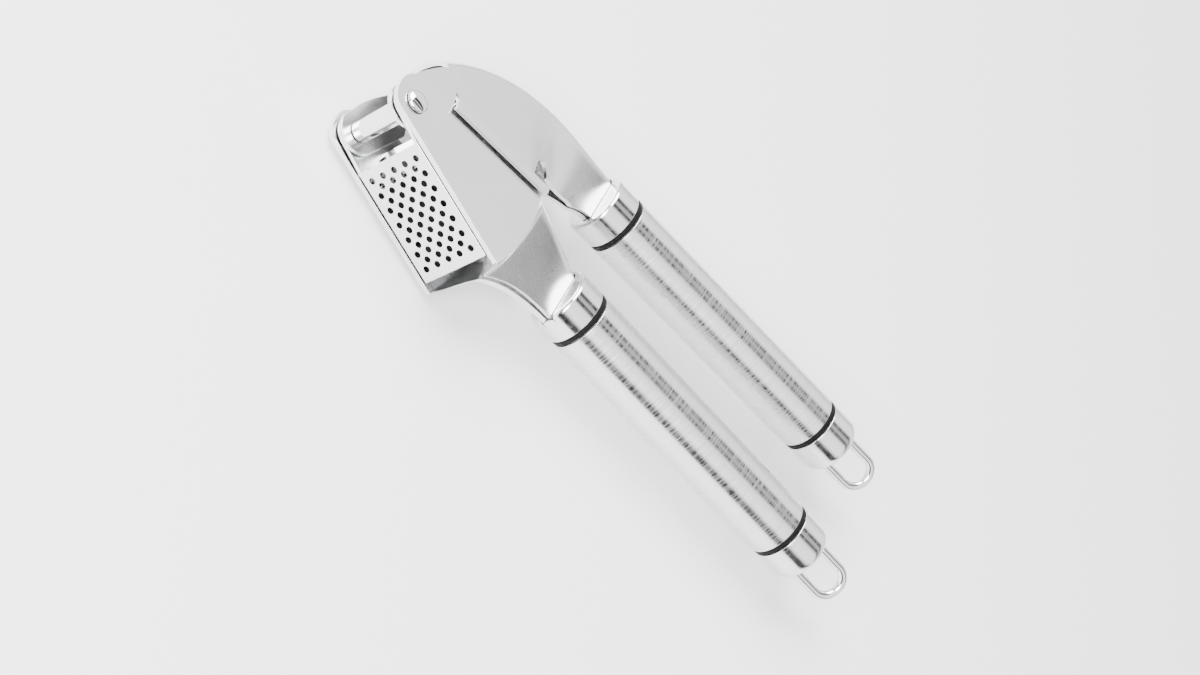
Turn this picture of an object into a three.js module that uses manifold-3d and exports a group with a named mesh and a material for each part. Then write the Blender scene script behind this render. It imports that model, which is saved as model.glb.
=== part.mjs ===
// Garlic press in stainless steel: two levers on one pin, a swing-out hopper with a pierced floor,
// and a plunger that hangs inside the arched upper lever.
// Millimetres, +Z up. The press lies on its side: the pin stands along Z, the lower handle runs along X,
// and the upper lever opens towards +Y. Shapes are drawn about the pin's centre, and the finished press is
// shifted so that the origin is the middle of its footprint, on the surface that it lies on.
import * as THREE from 'three';
import { mergeVertices } from 'three/addons/utils/BufferGeometryUtils.js';
import Module from 'manifold-3d';

const wasm = await Module();
wasm.setup();

// ---- Driving dimensions ----
const gap = 0.3; // clearance between pieces that touch
const degree = Math.PI / 180;

// Main pin, its spacer and the ears on it
const pinRadius = 2;
const pinHeadRadius = 3.6;
const pinHeadHeight = 1.7;
const spacerWall = 0.8;

// Hopper: the swing-out basket
const hopperHalfWidth = 11.8; // outside
const hopperSheet = 1;
const floorAngle = 18.3 * degree; // the floor falls away from the lower handle's line
const floorDepth = 6.5; // outer face of the floor to the pin's axis
const hopperFrontRadius = 11.1; // front and rear walls are arcs about the pin
const hopperRearRadius = 44.6;
const hopperFrontTop = 20 * degree; // the front wall ends at this angle above the X axis
const hopperEarRadius = 5.6;
const hopperEarTop = 100 * degree;
const hopperEarFoot = 238 * degree;
const hopperEarLap = 2; // the ears run this far past the front wall's radius
const holeRadius = 1;
const holePitchAlong = 4.66; // between full rows
const holePitchAcross = 4.37;
const holeMarginAlong = 3.4; // least plain strip at the floor's ends and sides
const holeMarginAcross = 2;

// Rim of the hopper, folded out over the cheeks and down
const rimAngle = 4.4 * degree;
const rimStartX = 10.2;
const rimStartY = 11.1;
const rimBehindHopper = 2.3; // behind the rear wall's radius
const rimAcross = 4.3; // width of the strip across the rear
const lipHeight = 3.5;
const lipSheet = 0.9;
const lipStandOff = 0.8; // space between the lip and the cheek

// Lower frame: two cheeks that close to a neck, which is folded along its top and open below
const cheekSheet = 1.5;
const cheekToHopper = 0.55;
const cheekBehindHopper = 2.9; // rear arc of the cheeks to the hopper's rear wall
const cheekStepBehindRim = 0.7; // the cheek steps up to its ear this far ahead of the rim
const cheekStepBelowRim = 0.7;
const earRadius = 7;
const earCentre = new THREE.Vector2(0.2, 1.6);
const earTop = 85 * degree;
const earFront = 185 * degree;
const noseStart = -1.5; // along the floor's line: the lower edge starts to round up to the ear here
const noseCorner = -5.2; // and would meet the ear here
const neckLap = 0.6; // the neck starts this far inside the cheeks' rear arc
const neckFold = 2.8; // radius of the folds along the neck's top
const neckFootLift = 0.4; // the neck's foot starts this far above the cheeks' lower corner
const neckFootRise = 7; // length over which the foot rises towards the ferrule
const shoulderTopIn = 0.5; // how far the neck steps in behind the cheeks, at its top and foot
const shoulderFootIn = 11.5;
const shoulderLength = 3;
const shoulderStart = 0.6;
const neckTopInFerrule = 2.4; // top and foot of the neck inside the ferrule's radius
const neckFootInFerrule = 0.8;
const neckTopHalfEnd = 4.9; // half widths of both necks where the ferrules take them
const neckFootHalfEnd = 1.9;
const neckIntoFerrule = 3.8;

// Upper frame: an arched channel, open towards the hopper
const archSheet = 1.2;
const archRadius = 67.3; // crown of the arch
const archCentre = new THREE.Vector2(54, -17);
const archFront = 141 * degree; // the crown starts here, and the walls run on to the pin as ears
const crownHeight = 4; // of the rounded crown
const archEarRadius = 6.4;
const archEarFront = 150 * degree;
const archEarFoot = 330 * degree;
const archEarRun = 156 * degree; // the ears leave the arch's curve here
const archEarBlend = 5 * degree; // and lap its walls this far
const archToRim = 0.5;
const archToHopper = 0.4;
const archTaperStart = 2; // the crown narrows evenly from here to the ferrule
const footNarrowLead = 4.6; // the feet of the walls close from this far ahead of the skirt's end
const footNarrowLength = 20;
const archFootHalfEnd = 1.5;
const archTopInFerrule = 1.5;
const archFootInFerrule = 2.2;
const skirtInsideRear = 1; // the skirt stops this far ahead of the hopper's rear wall
const cutoutHeight = 28.5; // there the free edge steps up to this height
const cutoutRadius = 4;
const edgeBend = new THREE.Vector2(11, 1); // the free edge bends here, from the top of the step
const edgeRise = new THREE.Vector2(18.4, 2.6);
const edgeMargin = 2; // the arch's sections reach this far below the free edge

// Plunger and its hanger
const plungerPin = new THREE.Vector2(25, 8);
const plungerPinRadius = 1.8;
const plungerPinHead = 3;
const plungerPinHeadHeight = 1;
const plungerToFloor = 2;
const plungerToWall = 0.55;
const plungerToFront = 3.5; // room for its swing
const plungerThickness = 3;
const lugSheet = 1.5;
const lugRadius = 4.2;
const lugHalfSpread = 3.4; // inner face of each plunger lug
const lugFootHalf = 6.5;
const hangerRadius = 4.6;
const hangerToCrown = 0.45; // clearance of the hanger's upper edges under the crown

// Handles: both are the same, and each is drawn from its front ring
const gripRadius = 10;
const gripWall = 1.1;
const ringSpacing = 94.2;
const ringHalfWidth = 0.7;
const ringRecess = 0.15;
const ferruleLength = 9.6; // from the middle of the front ring
const ferruleCorner = 1.6;
const capLength = 13.2; // from the middle of the rear ring
const capCorner = 3.6;
const spigotLength = 8;
const lowerRing = new THREE.Vector2(81.8, 1.8);
const upperRing = new THREE.Vector2(80.6, 41.8);
const upperTilt = 2.1 * degree;

// Hanging loops
const wireRadius = 1.45;
const loopHalfWidth = 5.2;
const loopReach = 18.2; // outside the cap
const loopDepth = 6; // each leg's length inside the cap
const loopRoll = 45 * degree; // turn of the loop about its handle

const facetsRound = 28;
const facetsSmall = 16;
const facetsHole = 8;
const archStations = 12; // sections round the arch, and from there to its ferrule
const archRunStations = 7;
const past = 1; // cutters run this far past what they cut

// ---- Values that follow from them ----
const pinBore = pinRadius + gap;
const rimEndX = hopperRearRadius + rimBehindHopper;
const cheekRearRadius = hopperRearRadius + cheekBehindHopper;
const cheekInner = hopperHalfWidth + cheekToHopper;
const cheekOuter = cheekInner + cheekSheet;
const lipInner = cheekOuter + lipStandOff;
const lipOuter = lipInner + lipSheet;
const archHalfWidth = hopperHalfWidth - hopperSheet - archToHopper;
const skirtEndX = hopperRearRadius - skirtInsideRear;
const spacerHalf = archHalfWidth - archSheet - gap;
const spigotRadius = gripRadius - gripWall - gap;
const ringInner = spigotRadius + gap;
const plungerHalfWidth = hopperHalfWidth - hopperSheet - plungerToWall;
const lowerFerruleFront = lowerRing.x - ferruleLength;
const upperFerruleFront = upperRing.x - ferruleLength;

// A point given by its distance along the hopper floor and its depth below the pin
function floorPoint(along, depth) {
  const c = Math.cos(floorAngle);
  const s = Math.sin(floorAngle);
  return new THREE.Vector2(along * c - depth * s, -along * s - depth * c);
}

// Height of the rim's upper face above the X axis
function rimY(x) {
  return rimStartY + (x - rimStartX) * Math.tan(rimAngle);
}

function mix(a, b, t) {
  return a + (b - a) * t;
}

function ease(t) {
  const u = Math.min(1, Math.max(0, t));
  return u * u * (3 - 2 * u);
}

// ---- Solids ----

// A closed three.js geometry as a solid, with its faces turned out
function solidOf(geometry) {
  const bare = new THREE.BufferGeometry();
  const source = geometry.index ? geometry.toNonIndexed() : geometry;
  bare.setAttribute('position', source.getAttribute('position'));
  const merged = mergeVertices(bare, 1e-4);
  const corners = merged.index.array;
  const kept = [];
  for (let i = 0; i < corners.length; i += 3) {
    const [a, b, c] = [corners[i], corners[i + 1], corners[i + 2]];
    if (a !== b && b !== c && c !== a) kept.push(a, b, c);
  }
  const vertProperties = new Float32Array(merged.getAttribute('position').array);
  const build = (triVerts) => new wasm.Manifold(new wasm.Mesh({ numProp: 3, vertProperties, triVerts }));
  const made = build(new Uint32Array(kept));
  return made.volume() > 0 ? made : build(new Uint32Array(kept.reverse()));
}

function geometryOf(solid) {
  const mesh = solid.getMesh();
  const geometry = new THREE.BufferGeometry();
  geometry.setAttribute('position', new THREE.BufferAttribute(new Float32Array(mesh.vertProperties), 3));
  geometry.setIndex(new THREE.BufferAttribute(new Uint32Array(mesh.triVerts), 1));
  geometry.computeVertexNormals();
  return geometry;
}

function join(solids) {
  return solids.reduce((whole, next) => whole.add(next));
}

function cut(solid, cutters) {
  return cutters.reduce((left, cutter) => left.subtract(cutter), solid);
}

// A flat outline in the XY plane, thickened from z0 to z1
function plate(shape, z0, z1, curveSegments = 8) {
  const geometry = new THREE.ExtrudeGeometry(shape, { depth: z1 - z0, bevelEnabled: false, curveSegments });
  return solidOf(geometry.translate(0, 0, z0));
}

// The same plate on each side of the middle plane
function platePair(shape, z0, z1) {
  return [plate(shape, z0, z1), plate(shape, -z1, -z0)];
}

function disc(x, y, radius, z0, z1, facets = facetsSmall) {
  const geometry = new THREE.CylinderGeometry(radius, radius, z1 - z0, facets);
  return solidOf(geometry.rotateX(Math.PI / 2).translate(x, y, (z0 + z1) / 2));
}

// A turned piece: the profile lists [distance along the axis, radius], and the axis becomes X or Z
function turned(profile, facets = facetsRound, axis = 'x') {
  const points = profile.map(([along, radius]) => new THREE.Vector2(radius, along));
  const geometry = new THREE.LatheGeometry(points, facets);
  return solidOf(axis === 'x' ? geometry.rotateZ(-Math.PI / 2) : geometry.rotateX(Math.PI / 2));
}

// Profile points of a quarter round between two radii or lengths
function quarter(along, radius, size, from, to, steps = 3) {
  const points = [];
  for (let i = 0; i <= steps; i += 1) {
    const a = mix(from, to, i / steps);
    points.push([along + size * Math.cos(a), radius + size * Math.sin(a)]);
  }
  return points;
}

// A solid through closed rings of points. Each ring is symmetrical about the middle plane, and its first
// and last points face each other across it.
function loft(rings) {
  const count = rings[0].length;
  const triangles = [];
  const quad = (a, b, c, d) => triangles.push(a, b, c, a, c, d);
  for (let r = 0; r + 1 < rings.length; r += 1) {
    for (let i = 0; i < count; i += 1) {
      const j = (i + 1) % count;
      quad(rings[r][i], rings[r][j], rings[r + 1][j], rings[r + 1][i]);
    }
  }
  const [first, end] = [rings[0], rings[rings.length - 1]];
  for (let i = 0; i + 1 < count / 2; i += 1) {
    const [j, k, m] = [i + 1, count - 2 - i, count - 1 - i];
    quad(first[i], first[m], first[k], first[j]);
    quad(end[i], end[j], end[k], end[m]);
  }
  return solidOf(new THREE.BufferGeometry().setFromPoints(triangles));
}

// A sheet folded to a channel. Each station lists [height, z] points on the outer face, from one free edge
// round the fold to the other with the inside of the channel on the right, and place() puts such a point
// in space.
function channel(stations, sheet) {
  return loft(stations.map(({ outer, place }) => {
    const last = outer.length - 1;
    const inner = outer.map(([h, z], i) => {
      const [h0, z0] = outer[Math.max(0, i - 1)];
      const [h1, z1] = outer[Math.min(last, i + 1)];
      const length = Math.hypot(h1 - h0, z1 - z0);
      return [h + (sheet * (z1 - z0)) / length, z - (sheet * (h1 - h0)) / length];
    });
    return [...outer, ...inner.reverse()].map(([h, z]) => place(h, z));
  }));
}

// The same channel filled up to its free edges: the room it needs inside a ferrule
function filled(stations) {
  return loft(stations.map(({ outer, place }) => outer.map(([h, z]) => place(h, z))));
}

// The full outline of a symmetrical section from the points of its +Z half
function mirrored(halfSection) {
  const other = halfSection.slice(0, -1).map(([h, z]) => [h, -z]);
  return [...halfSection, ...other.reverse()];
}

// Section of a neck or arch: two walls from the foot up, and a crown over them
function section(foot, shoulder, footHalf, topHalf, crown) {
  const walls = [
    [foot, footHalf],
    [mix(foot, shoulder, 0.5), mix(footHalf, topHalf, 0.5)],
  ];
  return mirrored([...walls, ...crown]);
}

// ---- Lower frame ----

function cheekCorner() {
  return floorPoint(Math.sqrt(cheekRearRadius ** 2 - floorDepth ** 2), floorDepth);
}

function underRim(x) {
  return rimY(x) - hopperSheet - gap;
}

// Flat top between two quarter-round folds
function neckSection(foot, top, topHalf, footHalf) {
  const shoulder = top - neckFold;
  const crown = [];
  for (let i = 0; i <= 3; i += 1) {
    const a = (i * Math.PI) / 6;
    crown.push([shoulder + neckFold * Math.sin(a), topHalf - neckFold * (1 - Math.cos(a))]);
  }
  crown.push([top, 0]);
  return section(foot, shoulder, footHalf, topHalf, crown);
}

// The neck's sections are bent to the cheeks' arc where it starts, and stand straight at the ferrule
function neckStations(grow) {
  const start = cheekRearRadius - neckLap;
  const end = lowerFerruleFront + neckIntoFerrule + grow;
  const topEnd = lowerRing.y + gripRadius - neckTopInFerrule;
  const footEnd = lowerRing.y - gripRadius + neckFootInFerrule;
  const fall = cheekCorner().y + neckFootLift - footEnd;
  const shoulder = [0, 0.7, 1.4, 2.1, 2.9, 3.8, 5].map((step) => start + step);
  const further = [0.3, 0.45, 0.6, 0.8, 1].map((share) => mix(start, lowerFerruleFront, share));
  const half = (s, stepIn, halfEnd) => {
    const stepped = cheekOuter - stepIn * ease((s - start - shoulderStart) / shoulderLength);
    return mix(stepped, halfEnd, Math.min(1, (s - start) / (lowerFerruleFront - start))) + grow;
  };
  return [...shoulder, ...further, end].map((s) => {
    const t = Math.min(1, (s - start) / (lowerFerruleFront - start));
    const outer = neckSection(
      footEnd + fall * Math.exp(-(s - start) / neckFootRise) - grow,
      mix(underRim(hopperRearRadius), topEnd, t) + grow,
      half(s, shoulderTopIn, neckTopHalfEnd),
      half(s, shoulderFootIn, neckFootHalfEnd),
    );
    const bend = 1 - ease(t);
    const place = (y, z) => {
      const arc = Math.sqrt(cheekRearRadius ** 2 - y ** 2) - cheekRearRadius;
      return new THREE.Vector3(s + arc * bend, y, z);
    };
    return { outer, place };
  });
}

function lowerFrame() {
  const corner = cheekCorner();
  const nose = floorPoint(noseStart, floorDepth);
  const noseTurn = floorPoint(noseCorner, floorDepth);
  const rearTop = underRim(hopperRearRadius);
  const step = rimStartX - cheekStepBehindRim;
  const shape = new THREE.Shape();
  shape.moveTo(nose.x, nose.y);
  shape.lineTo(corner.x, corner.y);
  shape.absarc(0, 0, cheekRearRadius, Math.atan2(corner.y, corner.x), Math.asin(rearTop / cheekRearRadius));
  shape.lineTo(step, underRim(step));
  shape.lineTo(step, rimY(step) - cheekStepBelowRim);
  shape.absarc(earCentre.x, earCentre.y, earRadius, earTop, earFront);
  shape.quadraticCurveTo(noseTurn.x, noseTurn.y, nose.x, nose.y);
  const cheeks = platePair(shape, cheekInner, cheekOuter);
  const bore = disc(0, 0, pinBore, -cheekOuter - past, cheekOuter + past);
  return cut(join([channel(neckStations(0), cheekSheet), ...cheeks]), [bore]);
}

// ---- Hopper ----

function hopperHoles() {
  const cutters = [];
  const front = Math.sqrt(hopperFrontRadius ** 2 - floorDepth ** 2);
  const rear = Math.sqrt(hopperRearRadius ** 2 - floorDepth ** 2);
  const inner = hopperHalfWidth - hopperSheet;
  const fullRows = Math.floor((rear - front - holeMarginAlong * 2) / holePitchAlong) + 1;
  const inFullRow = Math.floor(((inner - holeMarginAcross) * 2) / holePitchAcross) + 1;
  const first = (front + rear - holePitchAlong * (fullRows - 1)) / 2;
  for (let row = 0; row < fullRows * 2 - 1; row += 1) {
    const count = inFullRow - (row % 2);
    for (let i = 0; i < count; i += 1) {
      const centre = floorPoint(first + (row * holePitchAlong) / 2, floorDepth - hopperSheet / 2);
      const hole = new THREE.CylinderGeometry(holeRadius, holeRadius, hopperSheet * 3, facetsHole);
      hole.rotateZ(-floorAngle);
      hole.translate(centre.x, centre.y, (i - (count - 1) / 2) * holePitchAcross);
      cutters.push(solidOf(hole));
    }
  }
  return cutters;
}

// The hopper's side outline, with the floor, the front wall and the rear wall set in by inset.
// The top is open: it runs past the rim by over.
function hopperOutline(inset, over) {
  const depth = floorDepth - inset;
  const front = hopperFrontRadius + inset;
  const rear = hopperRearRadius - inset;
  const frontFoot = floorPoint(Math.sqrt(front ** 2 - depth ** 2), depth);
  const rearFoot = floorPoint(Math.sqrt(rear ** 2 - depth ** 2), depth);
  const rearTop = Math.asin((rimY(rear) + over) / rear);
  const shape = new THREE.Shape();
  shape.moveTo(frontFoot.x, frontFoot.y);
  shape.lineTo(rearFoot.x, rearFoot.y);
  shape.absarc(0, 0, rear, Math.atan2(rearFoot.y, rearFoot.x), rearTop);
  shape.lineTo(front * Math.cos(hopperFrontTop), rimY(front) + over);
  const frontStart = Math.atan2(frontFoot.y, frontFoot.x);
  shape.absarc(0, 0, front, hopperFrontTop, frontStart, true);
  return shape;
}

function hopper() {
  const inner = hopperHalfWidth - hopperSheet;
  const box = plate(hopperOutline(0, -hopperSheet / 2), -hopperHalfWidth, hopperHalfWidth);
  const hollow = plate(hopperOutline(hopperSheet, gripRadius), -inner, inner);
  const ear = new THREE.Shape();
  const foot = floorPoint(Math.sqrt(hopperFrontRadius ** 2 - floorDepth ** 2) + hopperSheet / 2, floorDepth);
  const earRise = rimY(hopperFrontRadius) - hopperSheet;
  ear.moveTo(foot.x, foot.y);
  ear.lineTo(hopperFrontRadius + hopperEarLap, earRise);
  ear.lineTo(hopperFrontRadius - hopperEarLap, earRise);
  ear.absarc(0, 0, hopperEarRadius, hopperEarTop, hopperEarFoot);
  const ears = platePair(ear, inner, hopperHalfWidth);
  // The front wall stops at its own height, with free space above it
  const wallTop = hopperFrontRadius * Math.sin(hopperFrontTop);
  const open = new THREE.Shape();
  open.moveTo(0, wallTop);
  open.lineTo(hopperFrontRadius + hopperSheet + past, wallTop);
  open.lineTo(hopperFrontRadius + hopperSheet + past, rimStartY + gripRadius);
  open.lineTo(0, rimStartY + gripRadius);
  const frontSpace = plate(open, -inner, inner);
  const bore = disc(0, 0, pinBore, -hopperHalfWidth - past, hopperHalfWidth + past);
  const hollowed = cut(box, [hollow, ...hopperHoles()]);
  return cut(join([hollowed, ...ears, ...hopperRim()]), [frontSpace, hollow, bore]);
}

// The rim runs over both cheeks and across the rear, and turns down outside each cheek
function hopperRim() {
  const strip = (x0, x1, height) => {
    const shape = new THREE.Shape();
    shape.moveTo(x0, rimY(x0) - height);
    shape.lineTo(x1, rimY(x1) - height);
    shape.lineTo(x1, rimY(x1));
    shape.lineTo(x0, rimY(x0));
    return shape;
  };
  const inner = hopperHalfWidth - hopperSheet;
  const flanges = platePair(strip(rimStartX, rimEndX, hopperSheet), inner, lipOuter);
  const lips = platePair(strip(rimStartX, rimEndX, lipHeight), lipInner, lipOuter);
  const across = plate(strip(rimEndX - rimAcross, rimEndX, hopperSheet), -lipOuter, lipOuter);
  return [...flanges, ...lips, across];
}

// ---- Upper frame ----

// Crown as half an ellipse. Heights are measured from the foot of the station.
function archSection(foot, top, topHalf, footHalf) {
  const shoulder = top - crownHeight;
  const crown = [];
  for (let i = 0; i <= 5; i += 1) {
    const a = (i * Math.PI) / 10;
    crown.push([shoulder + crownHeight * Math.sin(a), i === 5 ? 0 : topHalf * Math.cos(a)]);
  }
  return section(foot, shoulder, footHalf, topHalf, crown);
}

// Half width of the crown, which narrows towards the ferrule
function crownHalf(x) {
  const taper = (x - archTaperStart) / (upperFerruleFront - archTaperStart);
  return mix(archHalfWidth, neckTopHalfEnd, Math.max(0, Math.min(1, taper)));
}

// Depth below the arch's radius that clears the crown's inner face at x, out to the half width z
function underCrown(x, z, clearance) {
  const half = crownHalf(x);
  const level = Math.sqrt(1 - (z / half) ** 2);
  const slope = (crownHeight * z) / (half ** 2 * level);
  return crownHeight * (1 - level) + (archSheet + clearance) * Math.hypot(1, slope);
}

// Stations fan out about the arch's centre, then march straight to the ferrule
function archStationsOf(grow) {
  const stations = [];
  const crown = archRadius + grow;
  const footAbove = (x) => rimY(x) + archToRim;
  const edgeBelow = cutoutHeight - edgeMargin;
  const halves = (topX, footX) => {
    const closed = ease((footX - skirtEndX + footNarrowLead) / footNarrowLength);
    return [
      crownHalf(topX) + grow,
      mix(archHalfWidth, archFootHalfEnd, closed) + grow,
    ];
  };
  // The feet rise from the rim's line to the free edge behind the skirt
  const risen = (x) => ease((x - skirtEndX) / cutoutRadius);
  for (let i = 0; i <= archStations; i += 1) {
    const angle = mix(archFront, Math.PI / 2, i / archStations);
    const [c, s] = [Math.cos(angle), Math.sin(angle)];
    // Where this ray meets the line just above the rim
    const toRim = (footAbove(archCentre.x) - archCentre.y) / (s - c * Math.tan(rimAngle));
    const toEdge = (edgeBelow - archCentre.y) / s;
    const footX = archCentre.x + c * toEdge;
    const foot = Math.min(mix(toRim, toEdge, risen(footX)), archRadius - crownHeight - archSheet);
    const outer = archSection(foot, crown, ...halves(archCentre.x + c * archRadius, footX));
    const place = (h, z) => new THREE.Vector3(archCentre.x + h * c, archCentre.y + h * s, z);
    stations.push({ outer, place });
  }
  const topEnd = upperRing.y + gripRadius - archTopInFerrule;
  const footEnd = upperRing.y - gripRadius + archFootInFerrule;
  const end = upperFerruleFront + neckIntoFerrule + grow;
  for (let i = 1; i <= archRunStations; i += 1) {
    const x = mix(archCentre.x, end, i / archRunStations);
    const share = ease((x - archCentre.x) / (upperFerruleFront - archCentre.x));
    const foot = mix(edgeBelow, footEnd, share) - grow;
    const top = mix(archCentre.y + archRadius, topEnd, share) + grow;
    const outer = archSection(foot, top, ...halves(x, x));
    stations.push({ outer, place: (h, z) => new THREE.Vector3(x, h, z) });
  }
  return stations;
}

function upperFrame() {
  // Ears on the pin, which run up into the walls of the arch
  const ear = new THREE.Shape();
  const shoulder = archRadius - crownHeight;
  const [run, lap] = [archEarRun, archFront - archEarBlend];
  ear.absarc(0, 0, archEarRadius, archEarFront, archEarFoot);
  ear.lineTo(rimStartX + hopperEarLap, rimY(rimStartX) + archToRim + gap);
  ear.lineTo(archCentre.x + shoulder * Math.cos(lap), archCentre.y + shoulder * Math.sin(lap));
  ear.absarc(archCentre.x, archCentre.y, shoulder, lap, run);
  const ears = platePair(ear, archHalfWidth - archSheet, archHalfWidth);
  // The free edge steps up behind the hopper and runs on to the ferrule
  const cutout = new THREE.Shape();
  const step = cutoutHeight - cutoutRadius;
  const behindFront = upperFerruleFront + past;
  cutout.moveTo(skirtEndX, 0);
  cutout.lineTo(skirtEndX, step);
  cutout.absarc(skirtEndX + cutoutRadius, step, cutoutRadius, Math.PI, Math.PI / 4, true);
  cutout.quadraticCurveTo(
    skirtEndX + edgeBend.x,
    cutoutHeight + edgeBend.y,
    skirtEndX + edgeRise.x,
    cutoutHeight + edgeRise.y,
  );
  cutout.lineTo(behindFront, upperRing.y - gripRadius);
  cutout.lineTo(behindFront, 0);
  const clearance = plate(cutout, -archHalfWidth - past, archHalfWidth + past);
  const bore = disc(0, 0, pinBore, -archHalfWidth - past, archHalfWidth + past);
  return cut(join([channel(archStationsOf(0), archSheet), ...ears]), [clearance, bore]);
}

// ---- Pins ----

function headedPin(radius, half, headRadius, headHeight) {
  const dome = [];
  for (let i = 0; i <= 3; i += 1) {
    const a = (i * Math.PI) / 6;
    dome.push([half + headHeight * Math.sin(a), i === 3 ? 0 : headRadius * Math.cos(a)]);
  }
  const far = dome.map(([along, r]) => [-along, r]).reverse();
  return turned([...far, [-half, radius], [half, radius], ...dome], facetsSmall, 'z');
}

function spacer() {
  const inner = pinBore;
  const outer = pinBore + spacerWall;
  const profile = [
    [-spacerHalf, inner],
    [spacerHalf, inner],
    [spacerHalf, outer],
    [-spacerHalf, outer],
    [-spacerHalf, inner],
  ];
  return turned(profile, facetsSmall, 'z');
}

// ---- Plunger and hanger ----

const lugOuter = lugHalfSpread + lugSheet;
const hangerInner = lugOuter + gap;
const hangerOuter = hangerInner + lugSheet;

function plungerPlate() {
  const face = floorDepth - hopperSheet - plungerToFloor;
  const back = face - plungerThickness;
  const front = hopperFrontRadius + hopperSheet + plungerToFront;
  const rear = hopperRearRadius - hopperSheet - plungerToWall;
  const shape = new THREE.Shape();
  const at = (radius, depth) => floorPoint(Math.sqrt(radius ** 2 - depth ** 2), depth);
  const start = at(front, face);
  const frontBack = at(front, back);
  const rearFace = at(rear, face);
  const rearBack = at(rear, back);
  shape.moveTo(start.x, start.y);
  shape.lineTo(rearFace.x, rearFace.y);
  shape.absarc(0, 0, rear, Math.atan2(rearFace.y, rearFace.x), Math.atan2(rearBack.y, rearBack.x));
  shape.lineTo(frontBack.x, frontBack.y);
  shape.absarc(0, 0, front, Math.atan2(frontBack.y, frontBack.x), Math.atan2(start.y, start.x), true);
  return plate(shape, -plungerHalfWidth, plungerHalfWidth);
}

function plungerPinBore(half) {
  return disc(plungerPin.x, plungerPin.y, plungerPinRadius + gap, -half - past, half + past);
}

// Folded strap: a foot that is welded to the plate and two lugs that reach up to the pin
function plungerLug() {
  const back = floorDepth - hopperSheet - plungerToFloor - plungerThickness - gap;
  const middle = plungerPin.x * Math.cos(floorAngle) - plungerPin.y * Math.sin(floorAngle);
  const footFront = floorPoint(middle - lugFootHalf, back);
  const footRear = floorPoint(middle + lugFootHalf, back);
  const lug = new THREE.Shape();
  lug.moveTo(footFront.x, footFront.y);
  lug.lineTo(footRear.x, footRear.y);
  lug.absarc(plungerPin.x, plungerPin.y, lugRadius, -floorAngle, Math.PI - floorAngle);
  const lugs = platePair(lug, lugHalfSpread, lugOuter);
  const foot = new THREE.Shape();
  const footTopRear = floorPoint(middle + lugFootHalf, back - lugSheet);
  const footTopFront = floorPoint(middle - lugFootHalf, back - lugSheet);
  foot.moveTo(footFront.x, footFront.y);
  foot.lineTo(footRear.x, footRear.y);
  foot.lineTo(footTopRear.x, footTopRear.y);
  foot.lineTo(footTopFront.x, footTopFront.y);
  const base = plate(foot, -lugOuter, lugOuter);
  return cut(join([base, ...lugs]), [plungerPinBore(lugOuter)]);
}

// Folded strap under the crown of the arch, whose legs carry the plunger's pin
function plungerHanger() {
  const top = archRadius - underCrown(plungerPin.x + hangerRadius, hangerOuter, hangerToCrown);
  const web = top - lugSheet;
  const angleAt = (x, radius) => Math.acos((x - archCentre.x) / radius);
  const [x0, x1] = [plungerPin.x - hangerRadius, plungerPin.x + hangerRadius];
  const arcBand = (outer, inner) => {
    const shape = new THREE.Shape();
    shape.absarc(archCentre.x, archCentre.y, outer, angleAt(x1, outer), angleAt(x0, outer));
    shape.absarc(archCentre.x, archCentre.y, inner, angleAt(x0, inner), angleAt(x1, inner), true);
    return shape;
  };
  const leg = new THREE.Shape();
  leg.absarc(archCentre.x, archCentre.y, top, angleAt(x1, top), angleAt(x0, top));
  leg.absarc(plungerPin.x, plungerPin.y, hangerRadius, Math.PI, Math.PI * 2);
  const legs = platePair(leg, hangerInner, hangerOuter);
  const bridge = plate(arcBand(top, web), -hangerOuter, hangerOuter);
  return cut(join([bridge, ...legs]), [plungerPinBore(hangerOuter)]);
}

// ---- Handle pieces, drawn along X from the middle of the front ring ----

function ferrule(neckRoom) {
  const start = -ferruleLength;
  const shoulder = -ringHalfWidth - gap;
  const profile = [
    [start, 0],
    ...quarter(start + ferruleCorner, gripRadius - ferruleCorner, ferruleCorner, Math.PI, Math.PI / 2),
    [shoulder, gripRadius],
    [shoulder, spigotRadius],
    [spigotLength, spigotRadius],
    [spigotLength, 0],
  ];
  return cut(turned(profile), [neckRoom]);
}

function ring(middle) {
  const outer = gripRadius - ringRecess;
  const profile = [
    [middle - ringHalfWidth, ringInner],
    [middle + ringHalfWidth, ringInner],
    [middle + ringHalfWidth, outer],
    [middle - ringHalfWidth, outer],
    [middle - ringHalfWidth, ringInner],
  ];
  return turned(profile);
}

function gripTube() {
  const start = ringHalfWidth + gap;
  const end = ringSpacing - ringHalfWidth - gap;
  const inner = gripRadius - gripWall;
  const profile = [
    [start, inner],
    [end, inner],
    [end, gripRadius],
    [start, gripRadius],
    [start, inner],
  ];
  return turned(profile);
}

function endCap() {
  const end = ringSpacing + capLength;
  const shoulder = ringSpacing + ringHalfWidth + gap;
  const profile = [
    [ringSpacing - spigotLength, 0],
    [ringSpacing - spigotLength, spigotRadius],
    [shoulder, spigotRadius],
    [shoulder, gripRadius],
    ...quarter(end - capCorner, gripRadius - capCorner, capCorner, Math.PI / 2, 0),
    [end, 0],
  ];
  const sockets = [-1, 1].map((side) => {
    const length = loopDepth + gap;
    const bore = new THREE.CylinderGeometry(wireRadius + gap, wireRadius + gap, length + past, facetsSmall);
    bore.rotateZ(Math.PI / 2).translate(end - (length - past) / 2, side * loopHalfWidth, 0);
    return solidOf(bore.rotateX(loopRoll));
  });
  return cut(turned(profile), sockets);
}

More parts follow.
